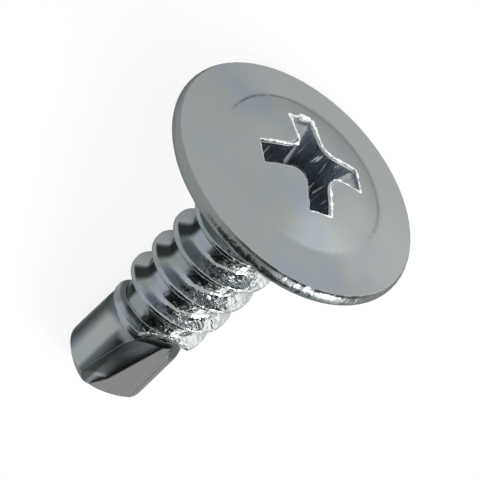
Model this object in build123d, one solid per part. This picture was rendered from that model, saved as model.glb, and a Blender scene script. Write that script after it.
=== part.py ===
from build123d import *
from math import asin, atan2, cos, degrees, hypot, radians, sin, tan
import os

# Wafer head self drilling screw, 4.2 mm sheet metal thread, 13 mm long under the head.
# It is built standing: the screw's axis is Z, the bearing face under the head is z = 0,
# the head is above it and the drill point below. Depths are counted down from the bearing
# face, angles run anticlockwise as seen from the head. At the end it is laid on its side.

# head
head_diameter = 10.65
rim_thickness = 0.62
rim_bulge = 0.13             # how far the rolled rim swells past its two edges
flange_width = 1.75          # the flat ring round the dome
flange_rise = 0.3            # the ring climbs this much from the rim to the dome
dome_rise = 0.85
dome_root_radius = 0.7       # the hollow round where dome meets flange
neck_clearance = 0.2         # the hollow under the head starts this far outside the thread

# cross recess, number 2
recess_span = 4.45
wing_width = 0.92
wing_corner_radius = 0.65
wing_angle = 24.0            # the ends of the wings lean in by this much
wing_side_angle = 3.2
mouth_edge = 0.1             # the long edges of the mouth are broken by this much
recess_depth = 2.2           # from the crown to the floor
recess_pip = 0.35            # the shallow cone below the floor
recess_turn = 43.0

# shank and thread
length_under_head = 13.0
thread_diameter = 4.1        # nominally 4.2
thread_height = 0.52
thread_pitch = 1.4
crest_width = 0.13
flank_angle = 30.0
thread_turn = 100.0          # where round the shank the thread starts
thread_start = 0.85          # depth at which the ridge comes out of the neck
thread_rise = 0.65           # length over which it grows to full height
taper_length = 3.1           # the last turns narrow a little over this length
thread_taper = 0.1           # and lose this much of the diameter
fade_length = 1.7            # then the ridge sinks into the drill
fade_taper = 0.22            # what the diameter has lost halfway through the fade
ridge_sink = 0.12            # the ends of the ridge are this far inside the shank
ridge_foot = 0.3             # how far the ridge is rooted in the shank
ridge_step = 15.0            # degrees between the sections that shape it

# drill point, its lengths counted up from the tip
drill_length = 5.6           # from the tip to the last full turn of the thread
land_length = 3.65           # from the tip to where the lands run straight
shoulder_height = 0.2        # the lands stand this much above the shank
shoulder_round = 0.8
land_flare = 0.02            # the lands spread this much towards the rim
point_angle = 101.0
point_swell = 0.13           # the cone of the tip is this much fuller than a straight one
tip_flat = 0.06              # radius of the small flat at its very end
web_thickness = 0.5
thinning_length = 1.1        # the web is thinned over this length at the tip
flute_turn = 75.8            # direction of the flat cutting face, seen from the head
flute_length = 5.4           # from the tip to where the flutes leave the surface
run_out_length = 1.3         # length of the sloping facet that ends each cutting face
run_out_lift = 0.9           # the root line climbs this much along that facet
root_at_start = 1.24         # distance of the root line along the cutting face, going down
root_at_thinning = 0.62
root_at_tip = 0.08
heel_at_run_out = 7.0        # angle of the heel edge round the land, going down
heel_at_start = -1.0
heel_at_thinning = -15.0
heel_at_tip = -20.0
wall_hollow = 0.09           # the wall behind the root is slightly hollow

overlap = 0.2                # how far pieces run into each other so that they join
skin = 0.05                  # how far the flutes are cut past the lands

head_radius = head_diameter / 2
dome_radius = head_radius - flange_width
flange_top = rim_thickness + flange_rise
crown = flange_top + dome_rise
thread_radius = thread_diameter / 2
shank_radius = thread_radius - thread_height
land_radius = shank_radius + shoulder_height
rim_radius = land_radius + land_flare
rim_depth = length_under_head - rim_radius / tan(radians(point_angle / 2))
thread_end = length_under_head - drill_length
land_start = length_under_head - land_length
flute_start = length_under_head - flute_length
flute_full = flute_start + run_out_length
flute_thin = length_under_head - thinning_length


def at(radius, angle, height):
    """A point given by its radius, its angle round the axis and its height."""
    return Vector(radius * cos(radians(angle)), radius * sin(radians(angle)), height)


def head():
    """Rolled rim, slightly conical flange and low dome, turned in one piece."""
    rim_edge = head_radius - rim_bulge
    ball = (dome_radius**2 + dome_rise**2) / (2 * dome_rise)
    slope = degrees(asin(dome_radius / ball))
    outline = Line((0, 0), (rim_edge, 0))
    outline += ThreePointArc((rim_edge, 0), (head_radius, rim_thickness / 2), (rim_edge, rim_thickness))
    outline += Line((rim_edge, rim_thickness), (dome_radius, flange_top))
    outline += CenterArc((0, crown - ball), ball, 90 - slope, slope)
    outline += Line((0, crown), (0, 0))
    profile = make_face(outline.edges())
    hollow = profile.vertices().sort_by_distance((dome_radius, flange_top))[0]
    profile = fillet(hollow, dome_root_radius)
    return Rot(0, 0, recess_turn) * revolve(Plane.XZ * profile, Axis.Z)


def neck():
    """The hollow round that carries the bearing face down into the shank."""
    outer = thread_radius + neck_clearance
    radius = outer - shank_radius
    middle = Vector(outer, -radius) + Vector(-1, 1).normalized() * radius
    outline = ThreePointArc((outer, 0), middle, (shank_radius, -radius))
    outline += Polyline((shank_radius, -radius), (0, -radius), (0, overlap), (outer, overlap), (outer, 0))
    return revolve(Plane.XZ * make_face(outline.edges()), Axis.Z)


def crest_radius(depth):
    """The ridge rises out of the neck, narrows a little and sinks into the drill, all in easy curves."""
    sunk = shank_radius - ridge_sink
    stations = (
        (thread_start, sunk),
        (thread_start + thread_rise, thread_radius),
        (thread_end - taper_length, thread_radius),
        (thread_end, thread_radius - thread_taper / 2),
        (thread_end + fade_length / 2, thread_radius - fade_taper / 2),
        (thread_end + fade_length, sunk),
    )
    for (upper, before), (lower, after) in zip(stations, stations[1:]):
        if depth <= lower:
            share = max(0, (depth - upper) / (lower - upper))
            eased = share * share * (3 - 2 * share)
            return before + (after - before) * eased
    return sunk


def ridge_section(angle):
    """The ridge cut by a plane through the screw's axis, a given turn down from its start."""
    depth = thread_start + thread_pitch * angle / 360
    crest = crest_radius(depth)
    foot = shank_radius - ridge_foot
    half_crest = crest_width / 2
    half_foot = half_crest + (crest - foot) * tan(radians(flank_angle))
    bearing = thread_turn - angle
    across = Plane((0, 0, -depth), x_dir=at(1, bearing, 0), z_dir=at(1, bearing - 90, 0))
    corners = (foot, -half_foot), (crest, -half_crest), (crest, half_crest), (foot, half_foot)
    return across * make_face(Polyline(corners, close=True))


def thread():
    """A right hand ridge with its own shape at every turn, joined through its sections."""
    turned = 360 * (thread_end + fade_length - thread_start) / thread_pitch
    count = round(turned / ridge_step)
    return loft([ridge_section(turned * n / count) for n in range(count + 1)])


def shank():
    """The plain rod the thread is rolled on, with its ridge."""
    rod = Pos(0, 0, -land_start / 2) * Cylinder(shank_radius, land_start)
    return rod + thread()


def point():
    """The drill: a round shoulder, two slightly spreading lands and the full cone of the tip."""
    rim = Vector(rim_radius, -rim_depth)
    tip = Vector(tip_flat, -length_under_head)
    swollen = (rim + tip) / 2 + (rim - tip).rotate(Axis.Z, -90).normalized() * point_swell
    shoulder = JernArc((land_radius, -land_start), (0, 1), shoulder_round, 45)
    outline = shoulder + Line(shoulder @ 0, rim)
    outline += ThreePointArc(rim, swollen, tip)
    outline += Polyline(tip, (0, tip.Y), (0, (shoulder @ 1).Y), shoulder @ 1)
    return revolve(Plane.XZ * make_face(outline.edges()), Axis.Z)


def flute_section(depth, root, heel_angle, reach):
    """One cut through the flute: the flat cutting face, the root and the hollow wall to the heel."""
    along = at(1, flute_turn, 0)
    facing = at(1, flute_turn - 90, 0)
    corner = facing * (web_thickness / 2) + along * root
    heel = at(reach, heel_angle, 0)
    inward = (heel - corner).rotate(Axis.Z, -90).normalized()
    middle = (corner + heel) / 2 + inward * wall_hollow
    edges = ThreePointArc(corner, middle, heel)
    edges += Polyline(heel, heel * 2, corner + along * (2 * reach), corner)
    return Pos(0, 0, -depth) * make_face(edges.edges())


def flute():
    """A hollow that leaves the shank at the top and deepens to the web at the tip."""
    lifted = root_at_start + run_out_lift
    reach = rim_radius + skin
    sections = (
        flute_section(flute_start, lifted, heel_at_run_out, rim_radius + overlap),
        flute_section(flute_full, root_at_start, heel_at_start, reach),
        flute_section(flute_thin, root_at_thinning, heel_at_thinning, reach),
        flute_section(length_under_head + overlap, root_at_tip, heel_at_tip, reach),
    )
    return [loft(pair, ruled=True) for pair in zip(sections, sections[1:])]


def cross(span, width, corner_radius):
    arms = Rectangle(span, width) + Rectangle(width, span)
    return fillet(arms.vertices().group_by(SortBy.DISTANCE)[0], corner_radius)


def recess():
    """Four wings that lean in and narrow down to a floor with a shallow cone in it."""
    mouth = crown - dome_rise * (recess_span / 2 / dome_radius) ** 2
    floor = crown - recess_depth

    def section(height):
        depth = mouth - height
        span = recess_span - 2 * depth * tan(radians(wing_angle))
        width = wing_width - 2 * depth * tan(radians(wing_side_angle))
        return Pos(0, 0, height) * cross(span, width, wing_corner_radius * span / recess_span)

    wings = loft([section(crown + overlap), section(floor)])
    pip = Pos(0, 0, floor - recess_pip / 2) * Cone(0, wing_corner_radius, recess_pip)
    return Rot(0, 0, recess_turn) * (wings + pip)


def screw():
    body = head() + neck() + shank() + point()
    for turn in (0, 180):
        for piece in flute():
            body -= Rot(0, 0, turn) * piece
    body -= recess()
    mouth = body.faces().filter_by(GeomType.SPHERE).edges().filter_by(GeomType.BSPLINE)
    short_of_ends = recess_span / 2 - wing_width / 4
    sides = [edge for edge in mouth if hypot(edge.center().X, edge.center().Y) < short_of_ends]
    return chamfer(sides, mouth_edge)


def laid_down(body):
    """Roll the screw onto a flute and tip it over, so that it lies on its rim and on that flute's edges."""
    share = (rim_depth - flute_full) / (flute_thin - flute_full)
    lip = flute_turn - degrees(asin(web_thickness / 2 / rim_radius))
    heel = heel_at_start + share * (heel_at_thinning - heel_at_start)
    half_rim = rim_thickness / 2
    roll_radius = (half_rim**2 + rim_bulge**2) / (2 * rim_bulge)
    across = head_radius - roll_radius - rim_radius * cos(radians((lip - heel) / 2))
    along = half_rim + rim_depth
    tilt = degrees(atan2(across, along) + asin(roll_radius / hypot(across, along)))
    print("lies at", tilt, "degrees, rolled by", (lip + heel) / 2)
    body = Rot(0, 90 - tilt, 0) * Rot(0, 0, 180 - (lip + heel) / 2) * body
    box = body.bounding_box(optimal=True)
    return Pos(-box.center().X, -box.center().Y, -box.min.Z) * body


os.makedirs("parts", exist_ok=True)
part = laid_down(screw())
print("volume", part.volume, "box", part.bounding_box(optimal=True).size, "faces", len(part.faces()))
export_step(part, "parts/screw.step")
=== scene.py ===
import math
import bpy
from mathutils import Matrix, Vector


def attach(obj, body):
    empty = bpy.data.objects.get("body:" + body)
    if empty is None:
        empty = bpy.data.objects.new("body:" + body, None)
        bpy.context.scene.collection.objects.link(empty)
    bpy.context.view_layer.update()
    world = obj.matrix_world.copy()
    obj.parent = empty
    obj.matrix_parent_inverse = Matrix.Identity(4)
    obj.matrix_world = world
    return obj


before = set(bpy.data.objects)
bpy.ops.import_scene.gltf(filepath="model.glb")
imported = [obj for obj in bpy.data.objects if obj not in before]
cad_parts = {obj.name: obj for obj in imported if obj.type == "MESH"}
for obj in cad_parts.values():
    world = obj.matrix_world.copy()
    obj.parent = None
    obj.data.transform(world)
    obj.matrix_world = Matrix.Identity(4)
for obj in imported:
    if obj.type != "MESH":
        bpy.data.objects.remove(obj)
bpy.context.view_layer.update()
print("frame loaded:", ", ".join(sorted(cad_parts)))

mm = 0.001  # the scene is in metres

# how the screw lies, tipped over on its rim and its point, and turned about its own axis
lie = {"tilt": 18.70655586, "roll": 152.90723178, "shift": (5.03955243, 0, 4.97296404)}  # degrees and mm
tipped = Matrix.Rotation(math.radians(90 - lie["tilt"]), 3, "Y")
lieTurn = (tipped @ Matrix.Rotation(math.radians(lie["roll"]), 3, "Z")).to_euler("XYZ")
lieShift = [value * mm for value in lie["shift"]]
dome = {"crown": 1.77, "fall": 0.063}  # mm over the bearing face, and lost per mm of radius squared

add = {"operation": "ADD"}  # settings that many nodes share
subtract = {"operation": "SUBTRACT"}
multiply = {"operation": "MULTIPLY"}
multiplyAdd = {"operation": "MULTIPLY_ADD"}
divide = {"operation": "DIVIDE"}
maximum = {"operation": "MAXIMUM"}
absolute = {"operation": "ABSOLUTE"}
sine = {"operation": "SINE"}
toRadians = {"operation": "RADIANS"}
dot = {"operation": "DOT_PRODUCT"}
length = {"operation": "LENGTH"}
distance = {"operation": "DISTANCE"}
scale = {"operation": "SCALE"}
eased = {"interpolation_type": "SMOOTHSTEP"}
colours = {"data_type": "RGBA"}
seeded = {"noise_dimensions": "4D"}


def linearColour(hexText):
    shares = [int(hexText[start:start + 2], 16) / 255 for start in (1, 3, 5)]
    return [share / 12.92 if share <= 0.04045 else ((share + 0.055) / 1.055) ** 2.4 for share in shares] + [1.0]


def cosineOf(angle):
    return math.cos(math.radians(angle))


def wayOf(turn):  # the way out from an axis, at a turn in degrees
    return (math.cos(math.radians(turn)), math.sin(math.radians(turn)), 0)


def lent(node):  # a node lends its first live output
    return next(output for output in node.outputs if output.enabled)


def addNode(tree, kind, settings=None, links=None):
    node = tree.nodes.new(kind)
    for name, value in (settings or {}).items():
        setattr(node, name, value)
    live = [socket for socket in node.inputs if socket.enabled]
    for name, value in (links or {}).items():  # by number or by name; plain values are typed in
        socket = live[name] if isinstance(name, int) else next(other for other in live if other.name == name)
        if isinstance(value, bpy.types.Node):
            value = lent(value)
        if isinstance(value, bpy.types.NodeSocket):
            tree.links.new(value, socket)
        else:
            socket.default_value = value
    return node


camera = {
    "place": (68.15066, 74.37746, 179.98246),  # mm
    "right": (0.57420598, -0.80884413, 0.12672279),
    "down": (-0.75046728, -0.45813259, 0.47635428),
    "lens": 408.63,  # mm
    "sensor": 36,  # mm
    "sees": (0.01, 10),  # m, nearest and farthest
}
cameraData = bpy.data.cameras.new("camera")
cameraData.lens = camera["lens"]
cameraData.sensor_width = camera["sensor"]
cameraData.clip_start, cameraData.clip_end = camera["sees"]
cameraObject = bpy.data.objects.new("camera", cameraData)
bpy.context.scene.collection.objects.link(cameraObject)
across = Vector(camera["right"]).normalized()
upward = -Vector(camera["down"]).normalized()
facing = Matrix((across, upward, across.cross(upward))).transposed().to_4x4()
cameraObject.matrix_world = Matrix.Translation(Vector(camera["place"]) * mm) @ facing
bpy.context.scene.camera = cameraObject
print("camera placed")

# a white room with three soft boxes, and black felt flags that give the metal something dark to show
studio = {
    "roomColour": "#f2f4f5",
    "roomLevel": 1.0,
    "whiteRays": ("Is Camera Ray", "Is Glossy Ray", "Is Transmission Ray"),  # these see plain white
    "lamps": {  # place and size in m, power in W
        "key soft box": ((-0.045, -0.235, 0.215), (0.13, 0.12), 0.55),
        "fill soft box": ((0.19, -0.21, 0.06), (0.30, 0.14), 0.08),
        "side soft box": ((-0.18, -0.235, 0.03), (0.20, 0.12), 0.09),
    },
    "pinSpot": {  # it lights the torn metal in the socket and leaves no glint
        "place": (0.150, 0.075, 0.230),  # m
        "aim": (0.0062, 0.0, 0.0055),
        "size": 0.004,
        "cone": 2.0,  # degrees
        "blend": 0.6,
        "power": 1.2,  # W
    },
    "flagDistance": 0.5,  # m
    "flagCorners": 48,
    "flagColour": "#161718",
    "flags": {  # azimuth, elevation, full and fading half width in degrees, share of the white that is held back
        "flag right": (-52, 44, 12, 32, 0.97),
        "flag low": (-172, 10, 33, 42, 0.95),
        "flag left": (158, 38, 23, 29, 0.97),
        "flag front": (-92, 4, 8, 20, 0.55),
        "flag above": (0, 90, 8, 50, 0.35),
    },
}
world = bpy.data.worlds.new("studio room")
bpy.context.scene.world = world
world.use_nodes = True
room = world.node_tree
room.nodes.clear()
roomRay = addNode(room, "ShaderNodeLightPath")
shown = 0.0
for ray in studio["whiteRays"]:
    shown = addNode(room, "ShaderNodeMath", maximum, {0: shown, 1: roomRay.outputs[ray]})
softRoom = addNode(room, "ShaderNodeBackground", links={
    "Color": linearColour(studio["roomColour"]), "Strength": studio["roomLevel"]})
whiteRoom = addNode(room, "ShaderNodeBackground", links={"Color": (1, 1, 1, 1), "Strength": 1.0})
wall = addNode(room, "ShaderNodeMixShader", links={0: shown, 1: softRoom, 2: whiteRoom})
addNode(room, "ShaderNodeOutputWorld", links={"Surface": wall})

for name, (spot, size, power) in studio["lamps"].items():
    lampData = bpy.data.lights.new(name, "AREA")
    lampData.shape = "RECTANGLE"
    lampData.size, lampData.size_y = size
    lampData.energy = power
    lamp = bpy.data.objects.new(name, lampData)
    bpy.context.scene.collection.objects.link(lamp)
    lamp.location = spot
    lamp.rotation_euler = (-Vector(spot)).to_track_quat("-Z", "Y").to_euler()

pin = studio["pinSpot"]
pinData = bpy.data.lights.new("pin spot", "SPOT")
pinData.spot_size = math.radians(pin["cone"])
pinData.spot_blend = pin["blend"]
pinData.shadow_soft_size = pin["size"]
pinData.energy = pin["power"]
pinSpot = bpy.data.objects.new("pin spot", pinData)
bpy.context.scene.collection.objects.link(pinSpot)
pinSpot.location = pin["place"]
pinSpot.rotation_euler = (Vector(pin["aim"]) - Vector(pin["place"])).to_track_quat("-Z", "Y").to_euler()
pinSpot.visible_glossy = False

for name, (azimuth, elevation, full, fading, share) in studio["flags"].items():
    fullRadius = studio["flagDistance"] * math.tan(math.radians(full))
    flagRadius = studio["flagDistance"] * math.tan(math.radians(fading))
    around = [math.tau * step / studio["flagCorners"] for step in range(studio["flagCorners"])]
    flagMesh = bpy.data.meshes.new(name)
    flagMesh.from_pydata(
        [(flagRadius * math.cos(angle), flagRadius * math.sin(angle), 0) for angle in around], [], [range(len(around))])
    flag = bpy.data.objects.new(name, flagMesh)
    bpy.context.scene.collection.objects.link(flag)
    turned, raised = math.radians(azimuth), math.radians(elevation)
    toward = Vector((math.cos(turned) * math.cos(raised), math.sin(turned) * math.cos(raised), math.sin(raised)))
    flag.location = toward * studio["flagDistance"]
    flag.rotation_euler = toward.to_track_quat("Z", "Y").to_euler()
    flag.visible_camera = flag.visible_diffuse = flag.visible_shadow = False  # only the metal sees it
    felt = bpy.data.materials.new(name + " felt")  # black felt on a frame, thinner towards its edge
    felt.use_nodes = True
    feltTree = felt.node_tree
    feltTree.nodes.clear()
    feltPlace = addNode(feltTree, "ShaderNodeTexCoord")
    fromMiddle = addNode(feltTree, "ShaderNodeVectorMath", length, {0: feltPlace.outputs["Object"]})
    cover = addNode(feltTree, "ShaderNodeMapRange", eased, {
        0: fromMiddle, 1: fullRadius, 2: flagRadius, 3: share, 4: 0.0})
    feltSkin = addNode(feltTree, "ShaderNodeBsdfDiffuse", links={"Color": linearColour(studio["flagColour"])})
    gap = addNode(feltTree, "ShaderNodeBsdfTransparent")
    veil = addNode(feltTree, "ShaderNodeMixShader", links={0: cover, 1: gap, 2: feltSkin})
    addNode(feltTree, "ShaderNodeOutputMaterial", links={"Surface": veil})
    flagMesh.materials.append(felt)
print("studio lit")

floorBoard = {
    "half": 0.6,  # m
    "colour": "#fcfcfb",
    "roughness": 0.95,
    "specular": 0.1,
    "glow": 0.84,  # share of plain white that the eye and the metal see in it
}
half = floorBoard["half"]
floorMesh = bpy.data.meshes.new("floor")
floorMesh.from_pydata([(-half, -half, 0), (half, -half, 0), (half, half, 0), (-half, half, 0)], [], [(0, 1, 2, 3)])
floor = bpy.data.objects.new("floor", floorMesh)
bpy.context.scene.collection.objects.link(floor)
matt = bpy.data.materials.new("matt white card")  # uncoated card: flat, no gloss
matt.use_nodes = True
card = matt.node_tree
cardSkin = card.nodes["Principled BSDF"]
cardSkin.inputs["Base Color"].default_value = linearColour(floorBoard["colour"])
cardSkin.inputs["Roughness"].default_value = floorBoard["roughness"]
cardSkin.inputs["Specular IOR Level"].default_value = floorBoard["specular"]
cardRay = addNode(card, "ShaderNodeLightPath")
seen = 0.0
for ray in studio["whiteRays"]:
    seen = addNode(card, "ShaderNodeMath", maximum, {0: seen, 1: cardRay.outputs[ray]})
glow = addNode(card, "ShaderNodeMath", multiply, {0: seen, 1: floorBoard["glow"]})
plainWhite = addNode(card, "ShaderNodeEmission", links={"Color": (1, 1, 1, 1), "Strength": 1.0})
board = addNode(card, "ShaderNodeMixShader", links={0: glow, 1: cardSkin, 2: plainWhite})
card.links.new(board.outputs[0], card.nodes["Material Output"].inputs["Surface"])
floorMesh.materials.append(matt)
print("floor laid")

# zinc-plated carbon steel, cold headed and thread rolled, barrel plated and blue passivated:
# a mid grey metal with a faint blue and green bloom, finely pebbled, brightest on the edges, where rubbed wear and a
# painted highlight lie
zinc = {
    "bloomColours": ("#949ba2", "#999e9c", "#adb2b1"),  # blue, green and clear parts of the passivate; the clear one is also painted in towards one side as painted light
    "bloomEdges": (0.32, 0.68),  # of the noise, where blue gives way to green
    "bloomSize": 1.6,  # mm
    "hazeSize": 3.2,
    "lighterSideTurn": 160,  # degrees, the side that the clear part lies on, painted lighter there as painted light
    "lighterSideSlope": 1 / 6,  # per mm, how fast the clear part and its painted light gain across the screw
    "clearEdges": (0.2, 1.05),  # of noise and slope together
    "shankColours": ("#9298a3", "#7c8885"),  # blue and green on one side of the shank, where the bloom is thickest
    "shankEdges": (0.44, 0.56),  # of the same noise
    "shankShare": 0.75,
    "turns": {  # degrees, the middle of each side
        "towardShank": -14,  # the thick bloom
        "towardHollowShade": -57,
        "towardRough": 65,  # the shank is left pebbled here, with a painted highlight, and rubbed smoother across from it
        "towardRim": 38,  # the rim is pebbled here and its corner painted lighter as a highlight
    },
    "hollowShadeArc": (11, 6),  # half arc and fading in degrees
    "cutTurn": -14.2,  # degrees, the way the cutting faces look
    "tones": {  # colour and share of each tone that lies over the bloom, in this order
        "hollowShade": ("#1e2222", 0.95),  # painted shade in the thread's hollows on one side of the shank
        "shankHighlight": ("#ccd0d0", 0.80),  # painted highlight on the pebbled side's tops
        "inSocket": ("#808c9a", 0.80),  # darker and bluer in the driven socket: painted shade in the recess
        "endWall": ("#e2e5e6", 0.80),  # bare where the punch drew, and painted near white as a highlight
        "flute": ("#565c5d", 0.85),  # painted shade on the flutes' hollow walls
        "cut": ("#949291", 0.75),  # pinched bright and rinsed bare, a little warmer
        "underRim": ("#6a716e", 0.55),  # duller below the corner of the rim
        "rimHighlight": ("#ccd0d0", 0.60),  # painted highlight above it
        "scrapeGlint": ("#e2e5e6", 0.70),  # drawn bare along the punch marks and painted near white as highlight streaks
    },
    "edgeTint": "#b4b4b4",  # what the grazing edge keeps
    "edgeRadius": 0.05,  # mm, the plated corner
    "mouthRadius": 0.07,  # mm, the socket's mouth
    "mouthEdges": (0.4, 0.6),  # of its zone, where one radius gives way to the other
    "wallRadius": 0.28,  # mm, the corners between its walls
    "wallEdges": (0.5, 0.9),  # the same for the walls
    "edgeBend": (0.9985, 0.975),  # cosine of the bend where the rubbed wear and painted highlight start and are full
    "edgeShares": (0.12, 0.3),  # rubbed wear and painted edge highlight left on plain corners and on the drill's
    "edgeColour": "#b4b8b9",  # rubbed corners, painted lighter as an edge highlight
    "bareColour": "#e2e5e6",  # corners inside the socket, bare and painted near white as a highlight
    "bareMetallic": 0.3,  # torn and oxidised, so it scatters
    "socketBare": 0.12,  # the plating there is this much bare
    "punchScale": (8.0, 8.0, 0.5),  # per mm: fine across the wall, long down it
    "scrapeEdges": (0.62, 0.68),  # of the punch marks' noise
    "scuff": {"place": (-0.9, -0.1, 1.15), "reach": 0.42, "gain": 0.14},  # mm, the driver's bite in the socket
    "drillShadeColour": "#343c3c",
    "drillShades": [(-95, 44, 14, 0.85), (-9, 9, 4, 0.75)],  # turn, half arc and fading in degrees on the drill, depth of tone
    "creaseShadeColour": "#33383b",
    "creaseShades": [  # radius, height and half width in mm, turn and half arc in degrees, depth of tone
        (3.47, 0.95, 0.10, -117, 26, 0.55),  # foot of the dome
        (3.40, 0.97, 0.14, 122, 22, 0.30),
        (5.215, 0.57, 0.08, 34, 30, 0.95),  # under the corner of the rim
    ],
    "shadeCore": 0.3,  # of the half width, where it is full
    "shadeFading": (16, 8),  # degrees past and short of each arc's end
    "shadeRags": {"scale": 2.6, "edges": (0.35, 0.6), "least": 0.25},  # per mm, of the noise, and share left
    "grainSize": 0.16,  # mm, pebbling; the real grit is nearer 0.03
    "grainDepth": 0.016,  # mm
    "dimpleSize": 0.42,  # mm
    "dimpleDepth": 0.11,
    "punchDepth": 0.05,
    "pebbling": [  # side and part, least and most of it
        ("pebbledSide", "shank", 0.12, 1.0),
        ("rimPebbleAndHighlight", "rim", 0.12, 0.9),
    ],
    "calm": 0.028,  # how much of the pebbling is left elsewhere
    "headRoughness": 0.24,
    "shankRoughness": (0.20, 0.07),  # smooth side, pebbled side
    "pebbledSpan": (0.1, 0.7),  # the pebbling between which the shank's roughness changes
    "grainRoughness": 0.08,  # added by the grain
    "edgeRoughness": 0.2,  # added on rubbed corners
}
plating = bpy.data.materials.new("blue passivated zinc on steel")
plating.use_nodes = True
skinTree = plating.node_tree
skin = skinTree.nodes["Principled BSDF"]
skin.inputs["Specular Tint"].default_value = linearColour(zinc["edgeTint"])

# millimetres along and round the screw's own axis, the bearing face at nought
coordinate = addNode(skinTree, "ShaderNodeTexCoord")
body = addNode(skinTree, "ShaderNodeMapping", {"vector_type": "TEXTURE"}, {
    "Vector": coordinate.outputs["Object"], "Location": lieShift, "Rotation": lieTurn, "Scale": (mm, mm, mm)})
shape = addNode(skinTree, "ShaderNodeNewGeometry")
looks = addNode(skinTree, "ShaderNodeMapping", {"vector_type": "TEXTURE"}, {
    "Vector": shape.outputs["Normal"], "Rotation": lieTurn})
flat = addNode(skinTree, "ShaderNodeVectorMath", multiply, {0: body, 1: (1, 1, 0)})
outward = addNode(skinTree, "ShaderNodeVectorMath", {"operation": "NORMALIZE"}, {0: flat})
height = addNode(skinTree, "ShaderNodeSeparateXYZ", links={0: body}).outputs["Z"]
radius = addNode(skinTree, "ShaderNodeVectorMath", length, {0: flat})
squared = addNode(skinTree, "ShaderNodeMath", multiply, {0: radius, 1: radius})
domeHeight = addNode(skinTree, "ShaderNodeMath", multiplyAdd, {0: squared, 1: -dome["fall"], 2: dome["crown"]})
cutWay = addNode(skinTree, "ShaderNodeVectorMath", dot, {0: looks, 1: wayOf(zinc["cutTurn"])})
measured = {
    "height": height,
    "radius": radius,
    "sunk": addNode(skinTree, "ShaderNodeMath", subtract, {0: domeHeight, 1: height}),  # how far below the dome
    "facing": addNode(skinTree, "ShaderNodeVectorMath", dot, {0: looks, 1: outward}),  # away from the axis
    "up": addNode(skinTree, "ShaderNodeSeparateXYZ", links={0: looks}).outputs["Z"],
    "cutWay": addNode(skinTree, "ShaderNodeMath", absolute, {0: cutWay}),
}
for name, turn in zinc["turns"].items():
    measured[name] = addNode(skinTree, "ShaderNodeVectorMath", dot, {0: outward, 1: wayOf(turn)})

# which part of the screw it is
hollowShadeHalf, hollowShadeFading = zinc["hollowShadeArc"]
zones = {  # what is measured, where the zone starts and where it is full, in mm or as a cosine
    "head": ("height", -0.45, -0.1),
    "top": ("height", 0.3, 0.5),
    "rim": ("radius", 5.16, 5.22),
    "outermost": ("radius", 5.0, 5.1),
    "upperRim": ("height", 0.25, 0.45),
    "belowCorner": ("height", 0.63, 0.55),
    "rimPebbleAndHighlight": ("towardRim", 0.55, 0.85),
    "rimMiddle": ("towardRim", 0.93, 0.985),
    "socketReach": ("radius", 2.75, 2.6),
    "sunken": ("sunk", 0.06, 0.35),
    "notNeck": ("facing", 0.5, 0.3),
    "notUnderside": ("up", -0.6, -0.4),
    "facingIn": ("facing", -0.55, -0.75),
    "farOut": ("radius", 1.55, 1.75),
    "belowHead": ("height", -0.1, -0.6),
    "aboveDrill": ("height", -8.6, -7.9),
    "hollow": ("radius", 2.04, 1.96),
    "shankSide": ("towardShank", 0.70, 0.95),
    "hollowShadeSide": ("towardHollowShade", cosineOf(hollowShadeHalf + hollowShadeFading), cosineOf(hollowShadeHalf - hollowShadeFading)),
    "shankHighlightSide": ("towardRough", 0.1, 0.8),
    "pebbledSide": ("towardRough", 0.15, 0.75),
    "drill": ("height", -7.7, -8.1),
    "drillCorners": ("height", -8.7, -9.1),
    "lands": ("height", -8.75, -9.2),
    "aboveTip": ("height", -11.75, -11.55),
    "deep": ("radius", 1.74, 1.66),
    "cutting": ("cutWay", 0.96, 0.99),
    "hollowWall": ("cutWay", 0.90, 0.70),
}
parts = {  # each lies where all of its zones meet
    "nearSocket": ("socketReach", "head"),
    "inSocket": ("sunken", "nearSocket", "notNeck", "notUnderside"),
    "endWall": ("facingIn", "farOut", "inSocket"),
    "shank": ("belowHead", "aboveDrill"),
    "shankBloom": ("shankSide", "shank"),
    "hollowShade": ("hollow", "shank", "hollowShadeSide"),
    "shankHighlight": ("shankHighlightSide", "shank"),
    "flute": ("hollowWall", "deep", "drill", "aboveTip"),
    "cut": ("cutting", "drill", "deep"),
    "underRim": ("belowCorner", "rim"),
    "rimHighlight": ("upperRim", "rim", "rimMiddle"),
    "rimCornerHighlight": ("outermost", "rimPebbleAndHighlight"),
}
zone = {}
for name, (source, start, full) in zones.items():
    zone[name] = addNode(skinTree, "ShaderNodeMapRange", eased, {0: measured[source], 1: start, 2: full})
for name, members in parts.items():
    zone[name] = zone[members[0]]
    for member in members[1:]:
        zone[name] = addNode(skinTree, "ShaderNodeMath", multiply, {0: zone[name], 1: zone[member]})

# plated corners: where the rounded normal leaves the true one
softness = addNode(skinTree, "ShaderNodeMapRange", eased, {
    0: zone["nearSocket"], 1: zinc["mouthEdges"][0], 2: zinc["mouthEdges"][1],
    3: zinc["edgeRadius"] * mm, 4: zinc["mouthRadius"] * mm})
softness = addNode(skinTree, "ShaderNodeMapRange", eased, {
    0: zone["inSocket"], 1: zinc["wallEdges"][0], 2: zinc["wallEdges"][1], 3: softness, 4: zinc["wallRadius"] * mm})
corner = addNode(skinTree, "ShaderNodeBevel", {"samples": 8}, {"Radius": softness})
agree = addNode(skinTree, "ShaderNodeVectorMath", dot, {0: corner, 1: shape.outputs["Normal"]})
edge = addNode(skinTree, "ShaderNodeMapRange", eased, {0: agree, 1: zinc["edgeBend"][0], 2: zinc["edgeBend"][1]})
edgeShare = addNode(skinTree, "ShaderNodeMath", multiply, {0: zone["drillCorners"], 1: zinc["edgeShares"][1]})
edgeShare = addNode(skinTree, "ShaderNodeMath", maximum, {0: edgeShare, 1: zone["nearSocket"]})
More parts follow.
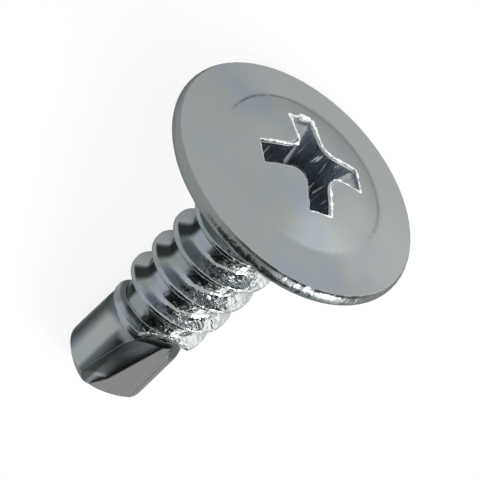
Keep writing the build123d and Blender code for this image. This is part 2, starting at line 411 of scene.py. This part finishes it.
edgeShare = addNode(skinTree, "ShaderNodeMath", maximum, {0: edgeShare, 1: zone["rimCornerHighlight"]})
edgeShare = addNode(skinTree, "ShaderNodeMapRange", links={0: edgeShare, 3: zinc["edgeShares"][0], 4: 1.0})
edge = addNode(skinTree, "ShaderNodeMath", multiply, {0: edge, 1: edgeShare})

# bloom of the passivate
bloom = addNode(skinTree, "ShaderNodeTexNoise", links={
    "Vector": body, "Scale": 1 / zinc["bloomSize"], "Detail": 2.0, "Roughness": 0.45, "Distortion": 0.3})
haze = addNode(skinTree, "ShaderNodeTexNoise", links={
    "Vector": body, "Scale": 1 / zinc["hazeSize"], "Detail": 2.0, "Roughness": 0.5})
blueTone, greenTone, clearAndLitTone = [linearColour(text) for text in zinc["bloomColours"]]
greenShare = addNode(skinTree, "ShaderNodeMapRange", eased, {
    0: bloom, 1: zinc["bloomEdges"][0], 2: zinc["bloomEdges"][1]})
# the clear part gathers towards one side: painted light on that side of the head
towardLighterSide = addNode(skinTree, "ShaderNodeVectorMath", dot, {0: body, 1: wayOf(zinc["lighterSideTurn"])})
clearAndLighterSide = addNode(skinTree, "ShaderNodeMath", multiplyAdd, {0: towardLighterSide, 1: zinc["lighterSideSlope"], 2: haze})
clearAndLighterSide = addNode(skinTree, "ShaderNodeMapRange", eased, {
    0: clearAndLighterSide, 1: zinc["clearEdges"][0], 2: zinc["clearEdges"][1]})
tone = addNode(skinTree, "ShaderNodeMix", colours, {0: greenShare, 1: blueTone, 2: greenTone})
tone = addNode(skinTree, "ShaderNodeMix", colours, {0: clearAndLighterSide, 1: tone, 2: clearAndLitTone})
blueTone, greenTone = [linearColour(text) for text in zinc["shankColours"]]
shankTone = addNode(skinTree, "ShaderNodeMapRange", eased, {
    0: bloom, 1: zinc["shankEdges"][0], 2: zinc["shankEdges"][1]})
shankTone = addNode(skinTree, "ShaderNodeMix", colours, {0: shankTone, 1: blueTone, 2: greenTone})
shankShare = addNode(skinTree, "ShaderNodeMath", multiply, {0: zone["shankBloom"], 1: zinc["shankShare"]})
tone = addNode(skinTree, "ShaderNodeMix", colours, {0: shankShare, 1: tone, 2: shankTone})

# punch marks down the socket's walls
drawn = addNode(skinTree, "ShaderNodeVectorMath", multiply, {0: body, 1: zinc["punchScale"]})
drag = addNode(skinTree, "ShaderNodeTexNoise", links={"Vector": drawn, "Scale": 1.0, "Detail": 2.0, "Roughness": 0.6})
bite = addNode(skinTree, "ShaderNodeVectorMath", distance, {0: body, 1: zinc["scuff"]["place"]})
bite = addNode(skinTree, "ShaderNodeMapRange", eased, {
    0: bite, 1: 0.0, 2: zinc["scuff"]["reach"], 3: zinc["scuff"]["gain"], 4: 0.0})
# where the marks' noise runs high the wall is painted near white: painted highlight streaks
scrapeGlint = addNode(skinTree, "ShaderNodeMath", add, {0: drag, 1: bite})
scrapeGlint = addNode(skinTree, "ShaderNodeMapRange", eased, {
    0: scrapeGlint, 1: zinc["scrapeEdges"][0], 2: zinc["scrapeEdges"][1]})
zone["scrapeGlint"] = addNode(skinTree, "ShaderNodeMath", multiply, {0: scrapeGlint, 1: zone["inSocket"]})

# each part's tone over the bloom, among them painted shade and painted highlight
for name, (hexText, share) in zinc["tones"].items():
    layer = addNode(skinTree, "ShaderNodeMath", multiply, {0: zone[name], 1: share})
    tone = addNode(skinTree, "ShaderNodeMix", colours, {0: layer, 1: tone, 2: linearColour(hexText)})

# painted shade down the drill's lands
for turn, halfArc, fading, depth in zinc["drillShades"]:
    side = addNode(skinTree, "ShaderNodeVectorMath", dot, {0: outward, 1: wayOf(turn)})
    drillShadeBand = addNode(skinTree, "ShaderNodeMapRange", eased, {
        0: side, 1: cosineOf(halfArc + fading), 2: cosineOf(halfArc - fading), 3: 0.0, 4: depth})
    drillShadeBand = addNode(skinTree, "ShaderNodeMath", multiply, {0: drillShadeBand, 1: zone["lands"]})
    tone = addNode(skinTree, "ShaderNodeMix", colours, {0: drillShadeBand, 1: tone, 2: linearColour(zinc["drillShadeColour"])})
# corners painted lighter: rubbed wear and painted edge highlight, near white inside the socket
edgeTone = addNode(skinTree, "ShaderNodeMix", colours, {
    0: zone["inSocket"], 1: linearColour(zinc["edgeColour"]), 2: linearColour(zinc["bareColour"])})
tone = addNode(skinTree, "ShaderNodeMix", colours, {0: edge, 1: tone, 2: edgeTone})

# painted shade in the creases, ragged along its edge
rags = zinc["shadeRags"]
ragged = addNode(skinTree, "ShaderNodeTexNoise", links={
    "Vector": body, "Scale": rags["scale"], "Detail": 3.0, "Roughness": 0.6})
broken = addNode(skinTree, "ShaderNodeMapRange", eased, {
    0: ragged, 1: rags["edges"][0], 2: rags["edges"][1], 3: rags["least"], 4: 1.0})
broken = addNode(skinTree, "ShaderNodeMath", multiply, {0: broken, 1: zone["top"]})
section = addNode(skinTree, "ShaderNodeCombineXYZ", links={0: radius, 1: height, 2: 0.0})
past, short = zinc["shadeFading"]
creaseShading = 0.0
for ringRadius, ringHeight, halfWidth, turn, halfArc, depth in zinc["creaseShades"]:
    side = addNode(skinTree, "ShaderNodeVectorMath", dot, {0: outward, 1: wayOf(turn)})
    away = addNode(skinTree, "ShaderNodeVectorMath", distance, {0: section, 1: (ringRadius, ringHeight, 0)})
    line = addNode(skinTree, "ShaderNodeMapRange", eased, {
        0: away, 1: zinc["shadeCore"] * halfWidth, 2: halfWidth, 3: depth, 4: 0.0})
    arc = addNode(skinTree, "ShaderNodeMapRange", eased, {
        0: side, 1: cosineOf(halfArc + past), 2: cosineOf(halfArc - short)})
    line = addNode(skinTree, "ShaderNodeMath", multiply, {0: line, 1: arc})
    line = addNode(skinTree, "ShaderNodeMath", multiply, {0: line, 1: broken})
    creaseShading = addNode(skinTree, "ShaderNodeMath", maximum, {0: creaseShading, 1: line})
tone = addNode(skinTree, "ShaderNodeMix", colours, {0: creaseShading, 1: tone, 2: linearColour(zinc["creaseShadeColour"])})
skinTree.links.new(lent(tone), skin.inputs["Base Color"])

# bare spots scatter more than the plated metal
bare = addNode(skinTree, "ShaderNodeMath", multiply, {0: zone["inSocket"], 1: zinc["socketBare"]})
for worn in (edge, zone["scrapeGlint"], zone["endWall"]):
    bare = addNode(skinTree, "ShaderNodeMath", maximum, {0: bare, 1: worn})
metal = addNode(skinTree, "ShaderNodeMapRange", links={0: bare, 3: 1.0, 4: zinc["bareMetallic"]})
skinTree.links.new(lent(metal), skin.inputs["Metallic"])

# pebbling
grain = addNode(skinTree, "ShaderNodeTexNoise", links={
    "Vector": body, "Scale": 1 / zinc["grainSize"], "Detail": 3.0, "Roughness": 0.6})
dimple = addNode(skinTree, "ShaderNodeTexNoise", links={
    "Vector": body, "Scale": 1 / zinc["dimpleSize"], "Detail": 2.0, "Roughness": 0.5})
pebbled = zinc["calm"]
for side, part, least, most in zinc["pebbling"]:
    grade = addNode(skinTree, "ShaderNodeMapRange", links={0: zone[side], 3: least, 4: most})
    grade = addNode(skinTree, "ShaderNodeMath", multiply, {0: grade, 1: zone[part]})
    pebbled = addNode(skinTree, "ShaderNodeMath", maximum, {0: pebbled, 1: grade})
rough = addNode(skinTree, "ShaderNodeMapRange", links={
    0: pebbled, 1: zinc["pebbledSpan"][0], 2: zinc["pebbledSpan"][1],
    3: zinc["shankRoughness"][0], 4: zinc["shankRoughness"][1]})
rough = addNode(skinTree, "ShaderNodeMapRange", links={0: zone["head"], 3: rough, 4: zinc["headRoughness"]})
rough = addNode(skinTree, "ShaderNodeMath", multiplyAdd, {0: grain, 1: zinc["grainRoughness"], 2: rough})
rough = addNode(skinTree, "ShaderNodeMath", multiplyAdd, {0: edge, 1: zinc["edgeRoughness"], 2: rough})
skinTree.links.new(lent(rough), skin.inputs["Roughness"])
coarse = addNode(skinTree, "ShaderNodeBump", links={
    "Strength": pebbled, "Distance": zinc["dimpleDepth"] * mm, "Height": dimple, "Normal": corner})
fine = addNode(skinTree, "ShaderNodeBump", links={
    "Strength": pebbled, "Distance": zinc["grainDepth"] * mm, "Height": grain, "Normal": coarse})
punched = addNode(skinTree, "ShaderNodeBump", links={
    "Strength": zone["inSocket"], "Distance": zinc["punchDepth"] * mm, "Height": drag, "Normal": fine})
skinTree.links.new(lent(punched), skin.inputs["Normal"])

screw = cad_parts["screw"]
screw.material_slots[0].material = plating
print("plating done")


def startTree(name, sizes):  # every size is a named input; whole numbers count, the rest measure
    tree = bpy.data.node_groups.new(name, "GeometryNodeTree")
    tree.is_modifier = True
    tree.interface.new_socket("Geometry", in_out="INPUT", socket_type="NodeSocketGeometry")
    for title, value in sizes.items():
        kind = "NodeSocketInt" if isinstance(value, int) else "NodeSocketFloat"
        tree.interface.new_socket(title, in_out="INPUT", socket_type=kind)
    tree.interface.new_socket("Material", in_out="INPUT", socket_type="NodeSocketMaterial")
    tree.interface.new_socket("Geometry", in_out="OUTPUT", socket_type="NodeSocketGeometry")
    return tree


def endTree(tree, geometry, material):  # lays the piece where the screw lies
    laid = addNode(tree, "GeometryNodeTransform", links={
        "Geometry": geometry, "Translation": lieShift, "Rotation": lieTurn, "Scale": (mm, mm, mm)})
    smooth = addNode(tree, "GeometryNodeSetShadeSmooth", links={"Geometry": laid})
    real = addNode(tree, "GeometryNodeRealizeInstances", links={"Geometry": smooth})
    dressed = addNode(tree, "GeometryNodeSetMaterial", links={"Geometry": real, "Material": material})
    addNode(tree, "NodeGroupOutput", links={"Geometry": dressed})


def plainMesh(carrier, tree, sizes, material):
    modifier = carrier.modifiers.new(tree.name, "NODES")
    modifier.node_group = tree
    for item in tree.interface.items_tree:
        if item.in_out == "INPUT" and item.name != "Geometry":
            modifier[item.identifier] = material if item.name == "Material" else sizes[item.name]
    evaluated = carrier.evaluated_get(bpy.context.evaluated_depsgraph_get())
    finished = bpy.data.meshes.new_from_object(evaluated)
    carrier.modifiers.remove(modifier)
    return finished


# the rolled skin of the thread: round hollows, a slightly rounded crest and the waves the rolling dies leave,
# a hair outside the plain ridge and sunk into it at both ends
thread = {
    "Pitch": 1.4,  # mm, as every length here
    "Start Depth": 0.85,  # under the bearing face, as every depth here
    "Start Bearing": 100.0,  # degrees
    "Turns Above": 2.0,  # of the sheet, before the thread starts
    "Shank Radius": 1.53,
    "Thread Radius": 2.05,
    "Half Crest": 0.08,
    "Flank Angle": 30.0,  # degrees
    "Rise": 0.65,  # the depth in which the crest comes out of the neck
    "Start Sink": 0.12,  # the crest starts under the shank's surface
    "Taper From": 4.3,
    "Taper To": 7.4,
    "Taper": -0.05,  # of the crest's radius
    "Fade To": 8.25,
    "Fade": -0.06,
    "Root Round": 0.34,
    "Last Root Round": 0.02,
    "Last Root": 0.9,  # the depth in which the hollows sharpen
    "Crest Round": 0.06,
    "Lift": 0.012,  # outside the plain ridge
    "Top": 0.74,
    "Top Sinking": 0.07,  # the depth in which the skin comes out
    "Bottom": 7.45,
    "Bottom Sinking": 0.12,
    "End Sink": -0.10,  # of the skin's radius at both ends
    "Closing": 0.07,  # past the ends, where the sheet turns in to the axis
    "Weld": 0.0005,  # joins the sheet's two sides and closes its ends
    "Wave": 0.05,
    "Wave Size": 0.75,
    "Crowding": -0.45 / math.tau,  # of the rows towards the crest
    "Seed": 7,
    "Steps": 144,  # round one turn
    "Rows": 34,  # across one pitch
    "Pitches": 8,
}
threadTree = startTree("rolled thread", thread)
given = addNode(threadTree, "NodeGroupInput").outputs

# a flat sheet, one turn wide and wound along the screw, whose rows crowd at the crest
aroundCount = addNode(threadTree, "ShaderNodeMath", add, {0: given["Steps"], 1: 1})
rowCount = addNode(threadTree, "ShaderNodeMath", multiply, {0: given["Rows"], 1: given["Pitches"]})
rowCount = addNode(threadTree, "ShaderNodeMath", add, {0: rowCount, 1: 1})
sheetGrid = addNode(threadTree, "GeometryNodeMeshGrid", links={0: 1.0, 1: 1.0, 2: aroundCount, 3: rowCount})
spot = addNode(threadTree, "ShaderNodeSeparateXYZ", links={0: addNode(threadTree, "GeometryNodeInputPosition")})
share = addNode(threadTree, "ShaderNodeMath", add, {0: spot.outputs["X"], 1: 0.5})  # of one turn
climb = addNode(threadTree, "ShaderNodeMath", add, {0: spot.outputs["Y"], 1: 0.5})
climb = addNode(threadTree, "ShaderNodeMath", multiply, {0: climb, 1: given["Pitches"]})
swing = addNode(threadTree, "ShaderNodeMath", multiply, {0: climb, 1: math.tau})
swing = addNode(threadTree, "ShaderNodeMath", sine, {0: swing})
climb = addNode(threadTree, "ShaderNodeMath", multiplyAdd, {0: swing, 1: given["Crowding"], 2: climb})
away = addNode(threadTree, "ShaderNodeMath", {"operation": "PINGPONG"}, {0: climb, 1: 0.5})
away = addNode(threadTree, "ShaderNodeMath", multiply, {0: away, 1: given["Pitch"]})  # from the crest's middle
crestTurn = addNode(threadTree, "ShaderNodeMath", {"operation": "ROUND"}, {0: climb})
depths = []
for turns in (climb, crestTurn):
    depth = addNode(threadTree, "ShaderNodeMath", add, {0: share, 1: turns})
    depth = addNode(threadTree, "ShaderNodeMath", subtract, {0: depth, 1: given["Turns Above"]})
    depths.append(addNode(threadTree, "ShaderNodeMath", multiplyAdd, {
        0: depth, 1: given["Pitch"], 2: given["Start Depth"]}))
depthHere, crestDepth = depths
held = addNode(threadTree, "ShaderNodeClamp", links={0: depthHere, 1: given["Top"], 2: given["Bottom"]})

# the crest rises out of the neck, narrows a little and goes on into the drill
risen = addNode(threadTree, "ShaderNodeMath", add, {0: given["Start Depth"], 1: given["Rise"]})
buried = addNode(threadTree, "ShaderNodeMath", subtract, {0: given["Shank Radius"], 1: given["Start Sink"]})
crest = addNode(threadTree, "ShaderNodeMapRange", eased, {
    0: crestDepth, 1: given["Start Depth"], 2: risen, 3: buried, 4: given["Thread Radius"]})
narrow = addNode(threadTree, "ShaderNodeMapRange", eased, {
    0: crestDepth, 1: given["Taper From"], 2: given["Taper To"], 3: 0.0, 4: given["Taper"]})
fade = addNode(threadTree, "ShaderNodeMapRange", eased, {
    0: crestDepth, 1: given["Taper To"], 2: given["Fade To"], 3: 0.0, 4: given["Fade"]})
for change in (narrow, fade, given["Lift"]):
    crest = addNode(threadTree, "ShaderNodeMath", add, {0: crest, 1: change})

# flanks, round crest, round hollow
slant = addNode(threadTree, "ShaderNodeMath", toRadians, {0: given["Flank Angle"]})
slant = addNode(threadTree, "ShaderNodeMath", {"operation": "TANGENT"}, {0: slant})
drop = addNode(threadTree, "ShaderNodeMath", subtract, {0: given["Half Crest"], 1: away})
drop = addNode(threadTree, "ShaderNodeMath", divide, {0: drop, 1: slant})
flank = addNode(threadTree, "ShaderNodeMath", add, {0: crest, 1: drop})
ridge = addNode(threadTree, "ShaderNodeMath", {"operation": "SMOOTH_MIN"}, {
    0: flank, 1: crest, 2: given["Crest Round"]})
floorLine = addNode(threadTree, "ShaderNodeMath", add, {0: given["Shank Radius"], 1: given["Lift"]})
lastRoot = addNode(threadTree, "ShaderNodeMath", subtract, {0: given["Bottom"], 1: given["Last Root"]})
hollow = addNode(threadTree, "ShaderNodeMapRange", eased, {
    0: held, 1: lastRoot, 2: given["Bottom"], 3: given["Root Round"], 4: given["Last Root Round"]})
reach = addNode(threadTree, "ShaderNodeMath", {"operation": "SMOOTH_MAX"}, {0: ridge, 1: floorLine, 2: hollow})

# waves from the dies, outward only
bearing = addNode(threadTree, "ShaderNodeMath", multiplyAdd, {0: share, 1: -360.0, 2: given["Start Bearing"]})
bearing = addNode(threadTree, "ShaderNodeMath", toRadians, {0: bearing})
east = addNode(threadTree, "ShaderNodeMath", {"operation": "COSINE"}, {0: bearing})
north = addNode(threadTree, "ShaderNodeMath", sine, {0: bearing})
under = addNode(threadTree, "ShaderNodeCombineXYZ", links={0: east, 1: north, 2: held})
waves = addNode(threadTree, "ShaderNodeMath", divide, {0: 1.0, 1: given["Wave Size"]})
waves = addNode(threadTree, "ShaderNodeTexNoise", seeded, {
    "Vector": under, "W": given["Seed"], "Scale": waves, "Detail": 3.0, "Roughness": 0.6})
reach = addNode(threadTree, "ShaderNodeMath", multiplyAdd, {0: waves, 1: given["Wave"], 2: reach})

# sunk at both ends, and closed there on the axis
for lower, upper, sinking in (
        (held, given["Top"], given["Top Sinking"]), (given["Bottom"], held, given["Bottom Sinking"])):
    sink = addNode(threadTree, "ShaderNodeMath", subtract, {0: lower, 1: upper})
    sink = addNode(threadTree, "ShaderNodeMapRange", eased, {0: sink, 1: 0.0, 2: sinking, 3: given["End Sink"], 4: 0.0})
    reach = addNode(threadTree, "ShaderNodeMath", add, {0: reach, 1: sink})
over = addNode(threadTree, "ShaderNodeMath", subtract, {0: depthHere, 1: held})
over = addNode(threadTree, "ShaderNodeMath", absolute, {0: over})
inside = addNode(threadTree, "ShaderNodeMath", {"operation": "LESS_THAN"}, {0: over, 1: given["Closing"]})
reach = addNode(threadTree, "ShaderNodeMath", multiply, {0: reach, 1: inside})
eastward = addNode(threadTree, "ShaderNodeMath", multiply, {0: east, 1: reach})
northward = addNode(threadTree, "ShaderNodeMath", multiply, {0: north, 1: reach})
downward = addNode(threadTree, "ShaderNodeMath", multiply, {0: held, 1: -1.0})
wound = addNode(threadTree, "ShaderNodeCombineXYZ", links={0: eastward, 1: northward, 2: downward})
wrapped = addNode(threadTree, "GeometryNodeSetPosition", links={"Geometry": sheetGrid, "Position": wound})
closed = addNode(threadTree, "GeometryNodeMergeByDistance", links={"Geometry": wrapped, "Distance": given["Weld"]})
endTree(threadTree, closed, given["Material"])

rolledThread = bpy.data.objects.new("rolled_thread", bpy.data.meshes.new("rolled_thread"))
bpy.context.scene.collection.objects.link(rolledThread)
finished = plainMesh(rolledThread, threadTree, thread, plating)
finished.materials.pop(index=0)  # the grid's own empty slot
rolledThread.data = finished
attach(rolledThread, "root")
print("thread rolled:", len(finished.polygons), "faces")

# the lip that the punch raised round the socket, torn and rubbed, its whiteness partly a painted highlight, highest
# where the wings meet
burr = {
    "turn": 43.0,  # degrees, of the socket
    "reach": 2.235,  # mm, as every length here
    "endSwell": 0.01,  # a wing's end stands out in its middle
    "halfWidth": 0.52,
    "sideMiddle": 1.7,  # out on a wing's side
    "bend": 1.11,  # where the wings' sides turn into the round
    "round": 0.59,
    "roundSteps": 8,
    "sunk": 0.02,  # under the dome
    "sizes": [  # for each quarter: wing's side, the round, its middle, next wing's side, its end, lean of the round
        (0.085, 0.045, 0.030, 0.035, 0.055, 0.00),
        (0.040, 0.055, 0.100, 0.065, 0.145, 0.02),
        (0.055, 0.050, 0.100, 0.070, 0.020, 0.05),
        (0.003, 0.003, 0.003, 0.003, 0.030, 0.00),
    ],
    "cornerShare": 0.6,  # a wing's corner is this much of the thicker of its side and its end
    "tree": {
        "Steps": 660,  # along the lip
        "Sides": 10,  # round it
        "Jitter": 0.09,  # of its path, over a grain of this size
        "Grain": 0.20,
        "Swell Scale": 3.6,  # per mm
        "Swell From": 0.40,
        "Swell To": 0.60,
        "Thinnest": 0.40,  # times its size
        "Thickest": 1.25,
        "Tear": 0.02,  # of its surface
        "Tear Scale": 6.0,  # per mm
        "Seed": 6,
    },
}
burrCurve = bpy.data.curves.new("mouth path", "CURVE")
burrCurve.dimensions = "3D"
reach, halfWidth, sideMiddle, bend = [burr[name] for name in ("reach", "halfWidth", "sideMiddle", "bend")]
pathPoints = []
for quarter, (firstSide, rounding, middle, nextSide, end, lean) in enumerate(burr["sizes"]):
    corners = [(reach, halfWidth, firstSide), (sideMiddle, halfWidth, firstSide), (bend, halfWidth, rounding)]
    for step in range(1, burr["roundSteps"]):
        part = step / burr["roundSteps"]
        centre = bend - lean * math.sin(math.pi * part)
        angle = math.radians(270 - 90 * part)
        corners.append((
            centre + burr["round"] * math.cos(angle), centre + burr["round"] * math.sin(angle),
            middle if part == 0.5 else rounding))
    corners += [
        (halfWidth, bend, rounding), (halfWidth, sideMiddle, nextSide),
        (halfWidth, reach, burr["cornerShare"] * max(nextSide, end)), (0.0, reach + burr["endSwell"], end)]
    spin = math.radians(burr["turn"] + 90 * quarter)
    for along, aside, size in corners:
        rise = dome["crown"] - dome["fall"] * (along * along + aside * aside) - burr["sunk"]
        pathPoints.append((
            along * math.cos(spin) - aside * math.sin(spin), along * math.sin(spin) + aside * math.cos(spin),
            rise, size))
spline = burrCurve.splines.new("POLY")
spline.points.add(len(pathPoints) - 1)
for point, (*place, size) in zip(spline.points, pathPoints):
    point.co = (*place, 1)
    point.radius = size
spline.use_cyclic_u = True

burrTree = startTree("punched lip", burr["tree"])
given = addNode(burrTree, "NodeGroupInput").outputs
here = addNode(burrTree, "GeometryNodeInputPosition")
noiseMiddle = (0.5, 0.5, 0.5)
fineScale = addNode(burrTree, "ShaderNodeMath", divide, {0: 1.0, 1: given["Grain"]})
stepped = addNode(burrTree, "GeometryNodeResampleCurve", links={"Curve": given["Geometry"], "Count": given["Steps"]})
shake = addNode(burrTree, "ShaderNodeTexNoise", seeded, {
    "Vector": here, "W": given["Seed"], "Scale": fineScale, "Detail": 2.0})
shake = addNode(burrTree, "ShaderNodeVectorMath", subtract, {0: shake.outputs["Color"], 1: noiseMiddle})
shake = addNode(burrTree, "ShaderNodeVectorMath", scale, {0: shake, 1: given["Jitter"]})
bent = addNode(burrTree, "GeometryNodeSetPosition", links={"Geometry": stepped, "Offset": shake})
swell = addNode(burrTree, "ShaderNodeTexNoise", seeded, {
    "Vector": here, "W": given["Seed"], "Scale": given["Swell Scale"], "Detail": 3.0, "Roughness": 0.6})
swell = addNode(burrTree, "ShaderNodeMapRange", eased, {
    0: swell, 1: given["Swell From"], 2: given["Swell To"], 3: given["Thinnest"], 4: given["Thickest"]})
sizeHere = addNode(burrTree, "GeometryNodeInputRadius")
sizeHere = addNode(burrTree, "ShaderNodeMath", multiply, {0: sizeHere, 1: swell})
section = addNode(burrTree, "GeometryNodeCurvePrimitiveCircle", links={"Resolution": given["Sides"], "Radius": 1.0})
bead = addNode(burrTree, "GeometryNodeCurveToMesh", links={
    "Curve": bent, "Profile Curve": section, "Scale": sizeHere})
tear = addNode(burrTree, "ShaderNodeTexNoise", seeded, {
    "Vector": here, "W": given["Seed"], "Scale": given["Tear Scale"], "Detail": 2.0})
tear = addNode(burrTree, "ShaderNodeVectorMath", subtract, {0: tear.outputs["Color"], 1: noiseMiddle})
tear = addNode(burrTree, "ShaderNodeVectorMath", scale, {0: tear, 1: given["Tear"]})
torn = addNode(burrTree, "GeometryNodeSetPosition", links={"Geometry": bead, "Offset": tear})
endTree(burrTree, torn, given["Material"])

# torn zinc rubbed down to steel, painted near white as a highlight, dull in patches
lip = {
    "brightColour": "#e9ebeb",
    "dullColour": "#7b8288",
    "patchSize": 0.45,  # mm
    "dullEdges": (0.64, 0.76),  # of the noise, where bright gives way to dull
    "metallic": 0.5,  # oxide scatters half of it
    "roughness": (0.2, 0.6),  # bright, dull
}
tornMetal = bpy.data.materials.new("torn zinc and bare steel")
tornMetal.use_nodes = True
lipTree = tornMetal.node_tree
lipSkin = lipTree.nodes["Principled BSDF"]
lipSkin.inputs["Metallic"].default_value = lip["metallic"]
lipPlace = addNode(lipTree, "ShaderNodeTexCoord")
patches = addNode(lipTree, "ShaderNodeTexNoise", links={
    "Vector": lipPlace.outputs["Object"], "Scale": 1 / (lip["patchSize"] * mm), "Detail": 3.0, "Roughness": 0.6})
dull = addNode(lipTree, "ShaderNodeMapRange", eased, {0: patches, 1: lip["dullEdges"][0], 2: lip["dullEdges"][1]})
lipTone = addNode(lipTree, "ShaderNodeMix", colours, {
    0: dull, 1: linearColour(lip["brightColour"]), 2: linearColour(lip["dullColour"])})
lipTree.links.new(lent(lipTone), lipSkin.inputs["Base Color"])
lipRough = addNode(lipTree, "ShaderNodeMapRange", links={0: patches, 3: lip["roughness"][0], 4: lip["roughness"][1]})
lipTree.links.new(lent(lipRough), lipSkin.inputs["Roughness"])

mouthPath = bpy.data.objects.new("mouth path", burrCurve)
bpy.context.scene.collection.objects.link(mouthPath)
finished = plainMesh(mouthPath, burrTree, burr["tree"], tornMetal)
bpy.data.objects.remove(mouthPath)
punchedLip = bpy.data.objects.new("punched_lip", finished)
bpy.context.scene.collection.objects.link(punchedLip)
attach(punchedLip, "root")
print("lip punched:", len(finished.polygons), "faces")

bpy.context.scene.view_settings.view_transform = "Standard"
